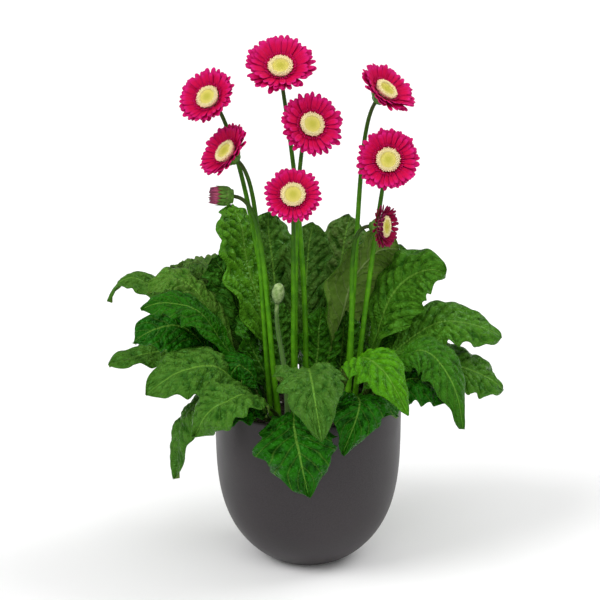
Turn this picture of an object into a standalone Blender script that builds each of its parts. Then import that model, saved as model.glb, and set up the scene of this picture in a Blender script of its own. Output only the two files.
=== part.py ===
"""A potted gerbera: a charcoal cover pot with a black grow pot and potting mix inside it, a
rosette of lobed leaves, eight crimson flower heads on tall stalks, a closed bud and a young bud.

Metres, +Z up. The origin is the centre of the cover pot's base, and -Y is the front.
"""

import math
import random
from collections import namedtuple

import bmesh
import bpy
from mathutils import Matrix, Vector, noise

SEAT_GAP = 0.0003            # between a piece and what it rests on or is fixed to

# Edges sharper than these angles, in degrees, stay sharp in the shading
TURNED_CREASE = 40
STALK_CREASE = 50
LEAF_CREASE = 60

# Cover pot: the side curves from a small foot up to an upright rim
POT_HEIGHT = 0.168
POT_RADIUS = 0.0945
POT_FOOT_RADIUS = 0.034
POT_FALL_POWER = 4.0
POT_SWELL_POWER = 1.3
POT_WALL = 0.0045
POT_FLOOR = 0.010
POT_FLOOR_RADIUS = 0.047
POT_LIP_BEVEL = 0.0014
POT_RINGS = 10
POT_RING_POWER = 1.6         # crowds the rings towards the foot, where the side curves most
POT_FIRST_INNER_RING = 3     # the lower ones lie within the floor
POT_SIDES = 32

# Grow pot, which stands on the cover pot's floor
GROW_POT_FOOT = POT_FLOOR + SEAT_GAP
GROW_POT_TOP = 0.160
GROW_POT_FOOT_RADIUS = 0.044
GROW_POT_TOP_RADIUS = 0.079
GROW_POT_WALL = 0.0013
GROW_POT_LIP = 0.0035
GROW_POT_SIDES = 24

# Potting mix
MIX_TOP = 0.150
MIX_CLEARANCE = 2 * SEAT_GAP
MIX_RELIEF = 0.0012
MIX_RELIEF_SCALE = 120.0
MIX_RINGS = 4

# What stands in the mix
ROOT_DEPTH = 0.009           # of a stem below the mix
SHANK = 0.003                # upright part of a stem above the mix
HOLE_CLEARANCE = 0.0005
HOLE_SIDES = 6

# Leaves
MIDRIB_STALK_SHARE = 0.20    # of the midrib's length that has no blade
STALK_HALF_WIDTH = 0.0029
STALK_CROWN = 0.0009         # height of the leaf stalk above its midline, and depth below it
STALK_KEEL = 0.0038
STALK_EDGE = 0.0012
BLADE_START = 0.10           # share of the blade over which it takes over from the stalk
BLADE_WIDEST = 0.55
BLADE_BASE_POWER = 0.45
BLADE_TIP_POWER = 0.50
BLADE_EDGE = 0.0009          # thickness at the edge and over the midrib
BLADE_RIB = 0.0024
FOLD = 0.30                  # rise of a half blade from the midrib, per half width
ARCH = 0.42                  # fall of its edge, per half width
RIPPLE = 0.09                # of the edge up and down, per half width
LOBES = 5                    # along each edge
LOBE_DEPTH_BASE = 0.34
LOBE_DEPTH_TIP = 0.08
LOBE_SWEEP = 0.22            # lean of the edge towards the tip, per half width
ROLL_SHARE = 0.40            # of the midrib's length over which a leaf turns to its full roll
LEAF_CELLS = 4               # across the blade

# Flower stalks and the green cup below each head
STALK_SIDES = 6
STALK_STEPS = 8
STALK_FOOT_RADIUS = 0.0030
STALK_NECK_RADIUS = 0.0022
NECK_REACH = 0.035           # of the bend below the head
CUP_DEPTH = 0.011
CUP_RADIUS = 0.0105
CUP_SHAPE = ((-0.84, 0.52), (-0.55, 0.86), (0.0, 1.0))
USUAL_HEAD_RADIUS = 0.030

# Flower heads
PETALS_PER_LAYER = 16
PETAL_ROOT_RADIUS = 0.0112
PETAL_THICKNESS = 0.0008
PETAL_SPREAD = 0.84          # of the pitch at six tenths of the petal
PETAL_TIP_DROP = 0.001
PETAL_REACH = (0.93, 1.05)   # least and most, as shares of the layer's length
PETAL_FULLNESS = (0.93, 1.07)
PETAL_LIFT = 4               # most, in degrees either way
# share of the petal's length, share of its half width, and drop of each point round it
PETAL_OUTLINE = (
    (0.62, -1.0, 0.0), (0.97, -0.45, PETAL_TIP_DROP), (1.0, 0.40, PETAL_TIP_DROP), (0.66, 1.0, 0.0),
)
OUTER_LAYER_HEIGHT = 0.0008
INNER_LAYER_HEIGHT = 0.0026
INNER_LAYER_RISE = 8         # degrees above the outer layer
INNER_LAYER_SHARE = 0.86     # of the outer layer's length
CORE_HEIGHT = 0.0040
DISC_FLARE = 0.6             # how far a tuft leans out, per height
DISC_SIDES = 16
# radius, height and tuft height of each ring of florets, as shares of the disc's radius
DISC_SHAPE = (
    (0.62, 0.0, 0.0), (0.98, 0.10, 0.03), (0.92, 0.34, 0.07), (0.55, 0.36, 0.05), (0.25, 0.30, 0.03),
)

Leaf = namedtuple("Leaf", "name base middle tip half_width roll")
Bloom = namedtuple("Bloom", "base bow centre facing radius disc_radius dish")

# base is where the leaf leaves the mix, and middle is a point half way along its midrib.
# roll turns the blade about the midrib, in degrees: the side leaves show their faces to the front.
LEAVES = (
    Leaf("leaf_left_1", (-0.050, 0.020), (-0.154, 0.050, 0.268), (-0.204, 0.046, 0.256), 0.015, -30),
    Leaf("leaf_left_2", (-0.050, -0.002), (-0.110, 0.010, 0.274), (-0.160, 0.002, 0.276), 0.024, -26),
    Leaf("leaf_left_3", (-0.058, 0.006), (-0.118, -0.002, 0.236), (-0.176, -0.004, 0.226), 0.032, -36),
    Leaf("leaf_left_4", (-0.056, 0.028), (-0.122, 0.052, 0.202), (-0.208, 0.044, 0.190), 0.024, -24),
    Leaf("leaf_left_5", (-0.042, -0.020), (-0.092, -0.054, 0.216), (-0.158, -0.074, 0.194), 0.035, -28),
    Leaf("leaf_left_6", (-0.026, -0.026), (-0.068, -0.104, 0.202), (-0.110, -0.118, 0.166), 0.034, -10),
    Leaf("leaf_left_7", (-0.052, -0.024), (-0.110, -0.054, 0.180), (-0.132, -0.064, 0.104), 0.019, 0),
    Leaf("leaf_left_8", (-0.034, -0.036), (-0.066, -0.080, 0.182), (-0.102, -0.106, 0.168), 0.028, 0),
    Leaf("leaf_left_9", (-0.044, 0.034), (-0.096, 0.066, 0.284), (-0.146, 0.090, 0.266), 0.034, 0),
    Leaf("leaf_left_10", (-0.046, -0.010), (-0.102, -0.020, 0.256), (-0.164, -0.034, 0.268), 0.022, -34),
    Leaf("leaf_back_1", (-0.032, 0.018), (-0.060, 0.040, 0.294), (-0.078, 0.060, 0.356), 0.037, 6),
    Leaf("leaf_back_2", (-0.018, 0.032), (-0.036, 0.084, 0.274), (-0.042, 0.104, 0.340), 0.033, 0),
    Leaf("leaf_back_3", (-0.004, 0.036), (-0.002, 0.064, 0.274), (0.006, 0.086, 0.332), 0.026, 0),
    Leaf("leaf_back_4", (0.020, 0.042), (0.032, 0.100, 0.266), (0.046, 0.134, 0.330), 0.034, 0),
    Leaf("leaf_back_5", (0.044, 0.038), (0.080, 0.088, 0.258), (0.102, 0.104, 0.302), 0.032, 10),
    Leaf("leaf_back_6", (0.012, 0.022), (0.044, 0.046, 0.278), (0.094, 0.052, 0.312), 0.042, -64),
    Leaf("leaf_right_1", (0.054, 0.014), (0.086, 0.018, 0.270), (0.138, 0.006, 0.296), 0.035, 46),
    Leaf("leaf_right_2", (0.056, 0.002), (0.118, 0.010, 0.238), (0.196, 0.016, 0.226), 0.031, 36),
    Leaf("leaf_right_3", (0.050, -0.010), (0.112, -0.040, 0.228), (0.152, -0.060, 0.154), 0.026, 32),
    Leaf("leaf_right_4", (0.063, -0.006), (0.134, 0.000, 0.200), (0.198, 0.006, 0.174), 0.032, 34),
    Leaf("leaf_right_5", (0.050, -0.024), (0.094, -0.042, 0.198), (0.146, -0.042, 0.176), 0.028, 24),
    Leaf("leaf_front_1", (0.028, -0.022), (0.052, -0.078, 0.232), (0.094, -0.120, 0.188), 0.030, 18),
    Leaf("leaf_front_2", (0.004, -0.024), (0.000, -0.094, 0.226), (0.012, -0.144, 0.170), 0.035, 0),
    Leaf("leaf_front_3", (-0.008, -0.036), (-0.014, -0.108, 0.176), (0.000, -0.124, 0.108), 0.044, 0),
    Leaf("leaf_front_4", (0.016, -0.036), (0.048, -0.092, 0.198), (0.032, -0.118, 0.148), 0.029, 0),
    Leaf("leaf_front_5", (0.034, -0.034), (0.062, -0.074, 0.184), (0.086, -0.094, 0.178), 0.025, 0),
    Leaf("leaf_rear_1", (-0.034, 0.040), (-0.068, 0.092, 0.204), (-0.100, 0.144, 0.174), 0.034, 0),
    Leaf("leaf_rear_2", (-0.006, 0.046), (-0.008, 0.110, 0.200), (-0.012, 0.182, 0.156), 0.036, 0),
    Leaf("leaf_rear_3", (0.030, 0.046), (0.058, 0.100, 0.206), (0.100, 0.166, 0.170), 0.035, 0),
    Leaf("leaf_rear_4", (0.056, 0.028), (0.100, 0.056, 0.216), (0.154, 0.088, 0.192), 0.035, 16),
)

# bow is a point that draws the stalk into its curve, and facing is the way the head looks.
# dish is how far the outer petals rise above the head's plane, in degrees.
BLOOMS = (
    Bloom((-0.003, 0.011), (0.002, 0.017, 0.330), (-0.027, 0.006, 0.499),
          (-0.03, -0.74, 0.67), 0.0358, 0.0130, 28),
    Bloom((-0.013, 0.003), (-0.015, 0.003, 0.320), (0.002, -0.009, 0.446),
          (0.28, -0.88, 0.44), 0.0328, 0.0130, 24),
    Bloom((-0.015, -0.008), (-0.015, -0.006, 0.260), (-0.015, -0.027, 0.380),
          (0.00, -0.87, 0.50), 0.0288, 0.0125, 20),
    Bloom((-0.032, 0.006), (-0.044, 0.008, 0.330), (-0.096, 0.006, 0.470),
          (-0.40, -0.74, 0.54), 0.0316, 0.0120, 30),
    Bloom((-0.038, -0.004), (-0.050, -0.002, 0.320), (-0.078, -0.004, 0.418),
          (-0.64, -0.50, 0.58), 0.0317, 0.0120, 32),
    Bloom((0.038, 0.011), (0.052, 0.012, 0.350), (0.073, 0.008, 0.476),
          (0.53, -0.47, 0.70), 0.0324, 0.0120, 30),
    Bloom((0.046, 0.002), (0.060, 0.002, 0.300), (0.077, -0.014, 0.413),
          (0.00, -0.95, 0.31), 0.0315, 0.0120, 22),
    Bloom((0.038, -0.008), (0.052, -0.006, 0.270), (0.071, -0.010, 0.347),
          (0.88, -0.47, 0.08), 0.0235, 0.0110, 26),
)

# The closed bud at the left, whose petals just show, and the young one among the leaves
BUD_BASE = (-0.030, -0.011)
BUD_BOW = (-0.046, -0.009, 0.290)
BUD_CENTRE = (-0.088, -0.006, 0.377)
BUD_FACING = (-0.97, -0.20, 0.08)
BUD_RADIUS = 0.0088
BUD_CUP_DEPTH = 0.014
BUD_CUP_SHAPE = ((-0.88, 0.72), (-0.60, 1.0), (0.0, 0.96))
BUD_PETAL_LENGTH = 0.011
BUD_PETAL_SIDES = 16
BUD_PETAL_FLARE = 0.3
BUD_PETAL_SHAPE = ((0.90, 0.0, 0.0), (0.98, 0.50, 0.0), (0.86, 0.82, 0.18), (0.35, 0.70, 0.10))
YOUNG_BUD_BASE = (-0.021, -0.017)
YOUNG_BUD_BOW = (-0.021, -0.017, 0.220)
YOUNG_BUD_TOP = (-0.029, -0.014, 0.290)
YOUNG_BUD_FACING = (0.1, -0.2, 1.0)
YOUNG_BUD_RADIUS = 0.0062
YOUNG_BUD_DEPTH = 0.022
YOUNG_BUD_SHAPE = ((-0.91, 0.45), (-0.68, 0.90), (-0.36, 1.0), (-0.09, 0.70), (0.0, 0.30))


def clear_scene():
    for item in list(bpy.data.objects):
        bpy.data.objects.remove(item)


def material(name, colour, roughness):
    made = bpy.data.materials.new(name)
    made.use_nodes = True
    shader = made.node_tree.nodes["Principled BSDF"]
    shader.inputs["Base Color"].default_value = (*colour, 1.0)
    shader.inputs["Roughness"].default_value = roughness
    shader.inputs["Metallic"].default_value = 0.0
    return made


def add_object(name, bm, finish, crease=None):
    """Turns a bmesh into a named object with its faces pointing outwards."""
    bmesh.ops.recalc_face_normals(bm, faces=bm.faces)
    mesh = bpy.data.meshes.new(name)
    bm.to_mesh(mesh)
    bm.free()
    mesh.materials.append(finish)
    if crease is not None:
        mesh.shade_smooth()
        mesh.set_sharp_from_angle(angle=math.radians(crease))
    made = bpy.data.objects.new(name, mesh)
    bpy.context.scene.collection.objects.link(made)
    return made


def ring_angles(count):
    return [2 * math.pi * i / count for i in range(count)]


def loft(bm, rings):
    """Joins rings of equal count into a skin and closes both ends."""
    rows = [[bm.verts.new(point) for point in ring] for ring in rings]
    for low, high in zip(rows, rows[1:]):
        for i in range(len(low)):
            j = (i + 1) % len(low)
            bm.faces.new((low[i], low[j], high[j], high[i]))
    bm.faces.new(rows[0][::-1])
    bm.faces.new(rows[-1])


def turned(name, profile, sides, finish):
    """A solid of revolution about Z. The profile starts and ends on the axis."""
    bm = bmesh.new()
    points = [bm.verts.new((radius, 0.0, height)) for radius, height in profile]
    line = [bm.edges.new(pair) for pair in zip(points, points[1:])]
    bmesh.ops.spin(
        bm, geom=points + line, cent=(0, 0, 0), axis=(0, 0, 1), angle=2 * math.pi, steps=sides, use_merge=True
    )
    bmesh.ops.remove_doubles(bm, verts=bm.verts, dist=1e-6)
    add_object(name, bm, finish, TURNED_CREASE)


# The cover pot, the grow pot in it and the mix in that

def pot_outer_radius(height):
    fall = 1.0 - height / POT_HEIGHT
    swell = (1.0 - fall**POT_FALL_POWER) ** (1.0 / POT_SWELL_POWER)
    return POT_FOOT_RADIUS + (POT_RADIUS - POT_FOOT_RADIUS) * swell


def make_cover_pot(finish):
    heights = [POT_HEIGHT * (i / POT_RINGS) ** POT_RING_POWER for i in range(1, POT_RINGS)]
    outside = [(pot_outer_radius(z), z) for z in heights]
    inside = [(pot_outer_radius(z) - POT_WALL, z) for z in heights[POT_FIRST_INNER_RING::2]]
    rim = [
        (POT_RADIUS, POT_HEIGHT - POT_LIP_BEVEL),
        (POT_RADIUS - POT_LIP_BEVEL, POT_HEIGHT),
        (POT_RADIUS - POT_WALL + POT_LIP_BEVEL, POT_HEIGHT),
        (POT_RADIUS - POT_WALL, POT_HEIGHT - POT_LIP_BEVEL),
    ]
    profile = [(0.0, 0.0), (POT_FOOT_RADIUS, 0.0), *outside, *rim]
    profile += [*reversed(inside), (POT_FLOOR_RADIUS, POT_FLOOR), (0.0, POT_FLOOR)]
    turned("cover_pot", profile, POT_SIDES, finish)


def grow_pot_radius(height):
    share = (height - GROW_POT_FOOT) / (GROW_POT_TOP - GROW_POT_FOOT)
    return GROW_POT_FOOT_RADIUS + (GROW_POT_TOP_RADIUS - GROW_POT_FOOT_RADIUS) * share


def make_grow_pot(finish):
    lip_low = GROW_POT_TOP - GROW_POT_LIP
    lip_radius = GROW_POT_TOP_RADIUS + GROW_POT_LIP
    floor = GROW_POT_FOOT + GROW_POT_WALL
    profile = [
        (0.0, GROW_POT_FOOT),
        (GROW_POT_FOOT_RADIUS, GROW_POT_FOOT),
        (grow_pot_radius(lip_low), lip_low),
        (lip_radius, lip_low),
        (lip_radius, GROW_POT_TOP),
        (GROW_POT_TOP_RADIUS - GROW_POT_WALL, GROW_POT_TOP),
        (grow_pot_radius(floor) - GROW_POT_WALL, floor),
        (0.0, floor),
    ]
    turned("grow_pot", profile, GROW_POT_SIDES, finish)


def mix_radius(height):
    return grow_pot_radius(height) - GROW_POT_WALL - MIX_CLEARANCE


def stem_holes():
    """(x, y, radius) of each plain hole in the mix."""
    leaf_hole = STALK_HALF_WIDTH + HOLE_CLEARANCE
    flower_hole = STALK_FOOT_RADIUS + HOLE_CLEARANCE
    holes = [(*leaf.base, leaf_hole) for leaf in LEAVES]
    holes += [(*bloom.base, flower_hole) for bloom in BLOOMS]
    holes += [(*BUD_BASE, flower_hole), (*YOUNG_BUD_BASE, flower_hole)]
    return holes


def make_mix(finish):
    """A plug with a crumbly top, and a hole for each stem."""
    low = GROW_POT_FOOT + GROW_POT_WALL + SEAT_GAP
    outline = [(mix_radius(low), low)]
    outline += [(mix_radius(MIX_TOP) * (1 - i / (MIX_RINGS + 1)), MIX_TOP) for i in range(MIX_RINGS)]
    rings = []
    for radius, height in outline:
        angles = ring_angles(GROW_POT_SIDES)
        ring = [Vector((radius * math.cos(a), radius * math.sin(a), height)) for a in angles]
        if height == MIX_TOP:
            for spot in ring:
                spot.z += MIX_RELIEF * noise.noise(spot * MIX_RELIEF_SCALE)
        rings.append(ring)
    bm = bmesh.new()
    loft(bm, rings)
    mix = add_object("potting_mix", bm, finish)

    cutters = bmesh.new()
    for x, y, radius in stem_holes():
        corner = radius / math.cos(math.pi / HOLE_SIDES)
        bmesh.ops.create_cone(
            cutters, cap_ends=True, segments=HOLE_SIDES, radius1=corner, radius2=corner,
            depth=2 * (ROOT_DEPTH + SEAT_GAP), matrix=Matrix.Translation((x, y, MIX_TOP)),
        )
    cutter = add_object("stem_hole_cutters", cutters, finish)
    cutter.hide_render = True
    cutter.display_type = "WIRE"
    holes = mix.modifiers.new("stem_holes", "BOOLEAN")
    holes.operation = "DIFFERENCE"
    holes.solver = "EXACT"
    holes.object = cutter


# Leaves

def midrib_frame(leaf, share):
    """Point, tangent, side and upper normal at a share of the midrib's length."""
    start = Vector((*leaf.base, MIX_TOP + SHANK))
    tip = Vector(leaf.tip)
    control = 2 * Vector(leaf.middle) - (start + tip) / 2
    point = (1 - share) ** 2 * start + 2 * share * (1 - share) * control + share**2 * tip
    tangent = ((1 - share) * (control - start) + share * (tip - control)).normalized()
    outward = tip - start
    side = Vector((-outward.y, outward.x, 0.0))
    side = (side - side.dot(tangent) * tangent).normalized()
    turn = math.radians(leaf.roll) * min(share / ROLL_SHARE, 1.0)
    side.rotate(Matrix.Rotation(turn, 3, tangent))
    return point, tangent, side, tangent.cross(side)


def blade_outline(b, hand):
    """Half width at a share b of the blade, against the widest. hand is the edge, -1 or 1."""
    full = (b / BLADE_WIDEST) ** BLADE_BASE_POWER * ((1 - b) / (1 - BLADE_WIDEST)) ** BLADE_TIP_POWER
    depth = LOBE_DEPTH_BASE + (LOBE_DEPTH_TIP - LOBE_DEPTH_BASE) * b
    notch = 0.5 + 0.5 * hand * math.cos(2 * math.pi * LOBES * b)
    return full * (1 - depth * notch)


def leaf_section(leaf, b, t, lower):
    """Where a point lies from the midrib: across, up and forwards. t runs across from -1 to 1."""
    blade = min(max(b / BLADE_START, 0.0), 1.0)
    hand = 1 if t >= 0 else -1
    blade_width = leaf.half_width * blade_outline(max(b, 0.0), hand)
    half_width = max(blade_width, STALK_HALF_WIDTH * (1 - blade), BLADE_EDGE)
    arch = half_width * (FOLD * abs(t) - ARCH * t * t)
    ripple = leaf.half_width * RIPPLE * t * t * math.cos(2 * math.pi * LOBES * b) * hand
    stalk = STALK_CROWN * (1 - t * t)
    up = blade * (arch + ripple) + (1 - blade) * stalk
    if lower:
        blade_thickness = BLADE_EDGE + (BLADE_RIB - BLADE_EDGE) * (1 - abs(t)) ** 2
        stalk_thickness = STALK_EDGE + (STALK_KEEL - STALK_EDGE) * (1 - t * t)
        up -= blade * blade_thickness + (1 - blade) * stalk_thickness
    return t * half_width, up, blade * LOBE_SWEEP * abs(t) * half_width


def leaf_row(leaf, b, spread, lower):
    """The points across one face of the leaf. b is below 0 on the stalk."""
    point, tangent, side, normal = midrib_frame(leaf, MIDRIB_STALK_SHARE + b * (1 - MIDRIB_STALK_SHARE))
    row = []
    for t in spread:
        across, up, ahead = leaf_section(leaf, b, t, lower)
        row.append(point + side * across + normal * up + tangent * ahead)
    return row


def root_row(leaf, b, spread, lower):
    """The points across the foot of the stalk, which stands upright in its hole."""
    _, _, side, _ = midrib_frame(leaf, 0.0)
    side = Vector((side.x, side.y, 0.0)).normalized()
    inward = Vector((0, 0, 1)).cross(side)
    foot = Vector((*leaf.base, MIX_TOP - ROOT_DEPTH))
    row = []
    for t in spread:
        across, up, _ = leaf_section(leaf, b, t, lower)
        row.append(foot + side * across + inward * up)
    return row


def make_leaf(leaf, finish):
    """One closed body, with a row of points across each face at each station of the midrib."""
    stalk_start = -MIDRIB_STALK_SHARE / (1 - MIDRIB_STALK_SHARE)
    stations = [stalk_start, stalk_start / 2, 0.0]
    stations += [i / (2 * LOBES) for i in range(1, 2 * LOBES + 1)]
    spread = [-1 + 2 * i / LEAF_CELLS for i in range(LEAF_CELLS + 1)]
    bm = bmesh.new()
    faces = []
    for lower in (False, True):
        rows = [root_row(leaf, stalk_start, spread, lower)]
        rows += [leaf_row(leaf, b, spread, lower) for b in stations]
        faces.append([[bm.verts.new(point) for point in row] for row in rows])
    for rows in faces:
        for low, high in zip(rows, rows[1:]):
            for i in range(LEAF_CELLS):
                bm.faces.new((low[i], low[i + 1], high[i + 1]))
                bm.faces.new((low[i], high[i + 1], high[i]))
    edge_upper, edge_lower = [leaf_edge(rows) for rows in faces]
    for i in range(len(edge_upper)):
        bm.faces.new((edge_upper[i - 1], edge_upper[i], edge_lower[i], edge_lower[i - 1]))
    add_object(leaf.name, bm, finish, LEAF_CREASE)


def leaf_edge(rows):
    """The points all round a face: along the foot, up one edge, over the tip and back."""
    right = [row[-1] for row in rows[1:]]
    left = [row[0] for row in rows[1:-1]]
    return rows[0] + right + rows[-1][-2::-1] + left[::-1]


# Flower stalks, each with the green cup that holds its head

def stalk_rings(base, bow, centre, facing, cup_depth, cup_radius, cup_shape):
    """Rings from the foot in the mix, up the stalk and round the cup to its rim at the centre."""
    facing = Vector(facing).normalized()
    centre = Vector(centre)
    neck = centre - facing * cup_depth
    start = Vector((*base, MIX_TOP + SHANK))
    controls = (start, Vector(bow), neck - facing * NECK_REACH, neck)
    upright = Vector((0, 0, 1))
    stops = [(start - upright * (SHANK + ROOT_DEPTH), upright, STALK_FOOT_RADIUS)]
    for i in range(STALK_STEPS + 1):
        share = i / STALK_STEPS
        point, tangent = bezier(controls, share)
        radius = STALK_FOOT_RADIUS + (STALK_NECK_RADIUS - STALK_FOOT_RADIUS) * share
        stops.append((point, tangent if i else upright, radius))
    for height, share in cup_shape:
        stops.append((centre + facing * cup_depth * height, facing, cup_radius * share))

    side = Vector((1, 0, 0))
    rings = []
    for point, tangent, radius in stops:
        side = (side - side.dot(tangent) * tangent).normalized()
        other = tangent.cross(side)
        spokes = [side * math.cos(a) + other * math.sin(a) for a in ring_angles(STALK_SIDES)]
        rings.append([point + spoke * radius for spoke in spokes])
    return rings


def bezier(controls, share):
    """Point and unit tangent of a cubic curve."""
    a, b, c, d = controls
    rest = 1 - share
    point = rest**3 * a + 3 * rest**2 * share * b + 3 * rest * share**2 * c + share**3 * d
    tangent = rest**2 * (b - a) + 2 * rest * share * (c - b) + share**2 * (d - c)
    return point, tangent.normalized()


def make_stalk(number, bloom, finish):
    radius = CUP_RADIUS * bloom.radius / USUAL_HEAD_RADIUS
    rings = stalk_rings(bloom.base, bloom.bow, bloom.centre, bloom.facing, CUP_DEPTH, radius, CUP_SHAPE)
    bm = bmesh.new()
    loft(bm, rings)
    add_object(f"stalk_{number}", bm, finish, STALK_CREASE)


# Flower heads

def head_frame(centre, facing):
    """Turns a head's own axes, with +Z the way it looks, into the plant's."""
    turn = Vector((0, 0, 1)).rotation_difference(Vector(facing).normalized())
    return Matrix.Translation(centre) @ turn.to_matrix().to_4x4()


def petal_point(angle, root_height, along, across, rise, drop):
    """A point at a distance along a petal from its root, and across it."""
    radius = PETAL_ROOT_RADIUS + along * math.cos(rise)
    return Vector((
        radius * math.cos(angle) - across * math.sin(angle),
        radius * math.sin(angle) + across * math.cos(angle),
        root_height + along * math.sin(rise) - drop,
    ))


def add_petal_layer(bm, rng, height, rise, length, turn):
    """Adds a ring of petals and gives the corners between them, for the lower and upper face."""
    pitch = 2 * math.pi / PETALS_PER_LAYER
    usual_half = 0.5 * pitch * (PETAL_ROOT_RADIUS + 0.6 * length) * PETAL_SPREAD
    levels = (height, height + PETAL_THICKNESS)
    corners = []
    for level in levels:
        angles = [(i + turn - 0.5) * pitch for i in range(PETALS_PER_LAYER)]
        corners.append([bm.verts.new(petal_point(a, level, 0.0, 0.0, 0.0, 0.0)) for a in angles])
    for i in range(PETALS_PER_LAYER):
        after = (i + 1) % PETALS_PER_LAYER
        reach = length * rng.uniform(*PETAL_REACH)
        lift = math.radians(rise + rng.uniform(-PETAL_LIFT, PETAL_LIFT))
        half = usual_half * rng.uniform(*PETAL_FULLNESS)
        outline = [(a * reach, w * half, drop) for a, w, drop in PETAL_OUTLINE]
        chains = []
        for level, row in zip(levels, corners):
            spots = [petal_point((i + turn) * pitch, level, a, w, lift, drop) for a, w, drop in outline]
            chain = [row[i], *[bm.verts.new(spot) for spot in spots], row[after]]
            bm.faces.new((chain[0], chain[1], chain[4], chain[5]))
            bm.faces.new(chain[1:5])
            chains.append(chain)
        under, over = chains
        for k in range(len(under) - 1):
            bm.faces.new((under[k], under[k + 1], over[k + 1], over[k]))
    return corners


def make_rays(number, bloom, finish):
    """Two layers of petals round a core, as one closed body."""
    rng = random.Random(number)
    length = bloom.radius - PETAL_ROOT_RADIUS
    bm = bmesh.new()
    outer = add_petal_layer(bm, rng, OUTER_LAYER_HEIGHT, bloom.dish, length, 0.0)
    inner_rise = bloom.dish + INNER_LAYER_RISE
    inner = add_petal_layer(bm, rng, INNER_LAYER_HEIGHT, inner_rise, length * INNER_LAYER_SHARE, 0.5)
    floor = bm.verts.new((0, 0, SEAT_GAP))
    roof = bm.verts.new((0, 0, CORE_HEIGHT))
    for i in range(PETALS_PER_LAYER):
        j = (i + 1) % PETALS_PER_LAYER
        bm.faces.new((floor, outer[0][i], outer[0][j]))
        bm.faces.new((roof, inner[1][i], inner[1][j]))
        bm.faces.new((outer[1][i], outer[1][j], inner[0][i]))
        bm.faces.new((inner[0][i], inner[0][j], outer[1][j]))
    bm.transform(head_frame(bloom.centre, bloom.facing))
    add_object(f"rays_{number}", bm, finish)


def tufted_rings(shape, sides, radius, base, scale, flare):
    """Rings whose points stand alternately above and below their level."""
    rings = []
    for share, height, tuft in shape:
        ring = []
        for i, angle in enumerate(ring_angles(sides)):
            step = tuft if i % 2 else -tuft
            out = radius * (share + flare * step)
            level = base + scale * (height + step)
            ring.append(Vector((out * math.cos(angle), out * math.sin(angle), level)))
        rings.append(ring)
    return rings


def make_disc(number, bloom, finish):
    """The low dome of small florets in the middle of a head."""
    radius = bloom.disc_radius
    bm = bmesh.new()
    loft(bm, tufted_rings(DISC_SHAPE, DISC_SIDES, radius, CORE_HEIGHT + SEAT_GAP, radius, DISC_FLARE))
    bm.transform(head_frame(bloom.centre, bloom.facing))
    add_object(f"disc_{number}", bm, finish)


# Buds

def make_bud(green, pink):
    rings = stalk_rings(
        BUD_BASE, BUD_BOW, BUD_CENTRE, BUD_FACING, BUD_CUP_DEPTH, BUD_RADIUS, BUD_CUP_SHAPE
    )
    bm = bmesh.new()
    loft(bm, rings)
    add_object("stalk_bud", bm, green, STALK_CREASE)

    bm = bmesh.new()
    rings = tufted_rings(
        BUD_PETAL_SHAPE, BUD_PETAL_SIDES, BUD_RADIUS, SEAT_GAP, BUD_PETAL_LENGTH, BUD_PETAL_FLARE
    )
    loft(bm, rings)
    bm.transform(head_frame(BUD_CENTRE, BUD_FACING))
    add_object("bud_petals", bm, pink)


def make_young_bud(finish):
    """A short stem with a small woolly knob."""
    rings = stalk_rings(
        YOUNG_BUD_BASE, YOUNG_BUD_BOW, YOUNG_BUD_TOP, YOUNG_BUD_FACING,
        YOUNG_BUD_DEPTH, YOUNG_BUD_RADIUS, YOUNG_BUD_SHAPE,
    )
    bm = bmesh.new()
    loft(bm, rings)
    add_object("young_bud", bm, finish, STALK_CREASE)


def main():
    clear_scene()
    charcoal = material("charcoal glaze", (0.060, 0.055, 0.058), 0.45)
    black = material("black plastic", (0.012, 0.012, 0.012), 0.5)
    peat = material("peat mix", (0.050, 0.032, 0.020), 0.95)
    leaf_green = material("leaf green", (0.075, 0.210, 0.030), 0.45)
    stalk_green = material("stalk green", (0.120, 0.260, 0.040), 0.5)
    crimson = material("petal crimson", (0.620, 0.006, 0.090), 0.55)
    florets = material("floret cream", (0.800, 0.720, 0.300), 0.8)
    woolly = material("young green", (0.420, 0.520, 0.260), 0.8)

    make_cover_pot(charcoal)
    make_grow_pot(black)
    make_mix(peat)
    for leaf in LEAVES:
        make_leaf(leaf, leaf_green)
    for number, bloom in enumerate(BLOOMS, 1):
        make_stalk(number, bloom, stalk_green)
        make_rays(number, bloom, crimson)
        make_disc(number, bloom, florets)
    make_bud(stalk_green, crimson)
    make_young_bud(woolly)


main()
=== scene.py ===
# %% [markdown]
# A potted gerbera, dressed
#
# The frame holds the plant as plain solids at their real size. This lesson gives each its look: a
# glazed pot, puckered leaves with veins, hairy stalks and flower heads of many petals. Every new
# piece keeps the place and the form of its solid.

# %% Load the frame
import math
import random
from collections import namedtuple

import bmesh
import bpy
from mathutils import Matrix, Vector, noise


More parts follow.
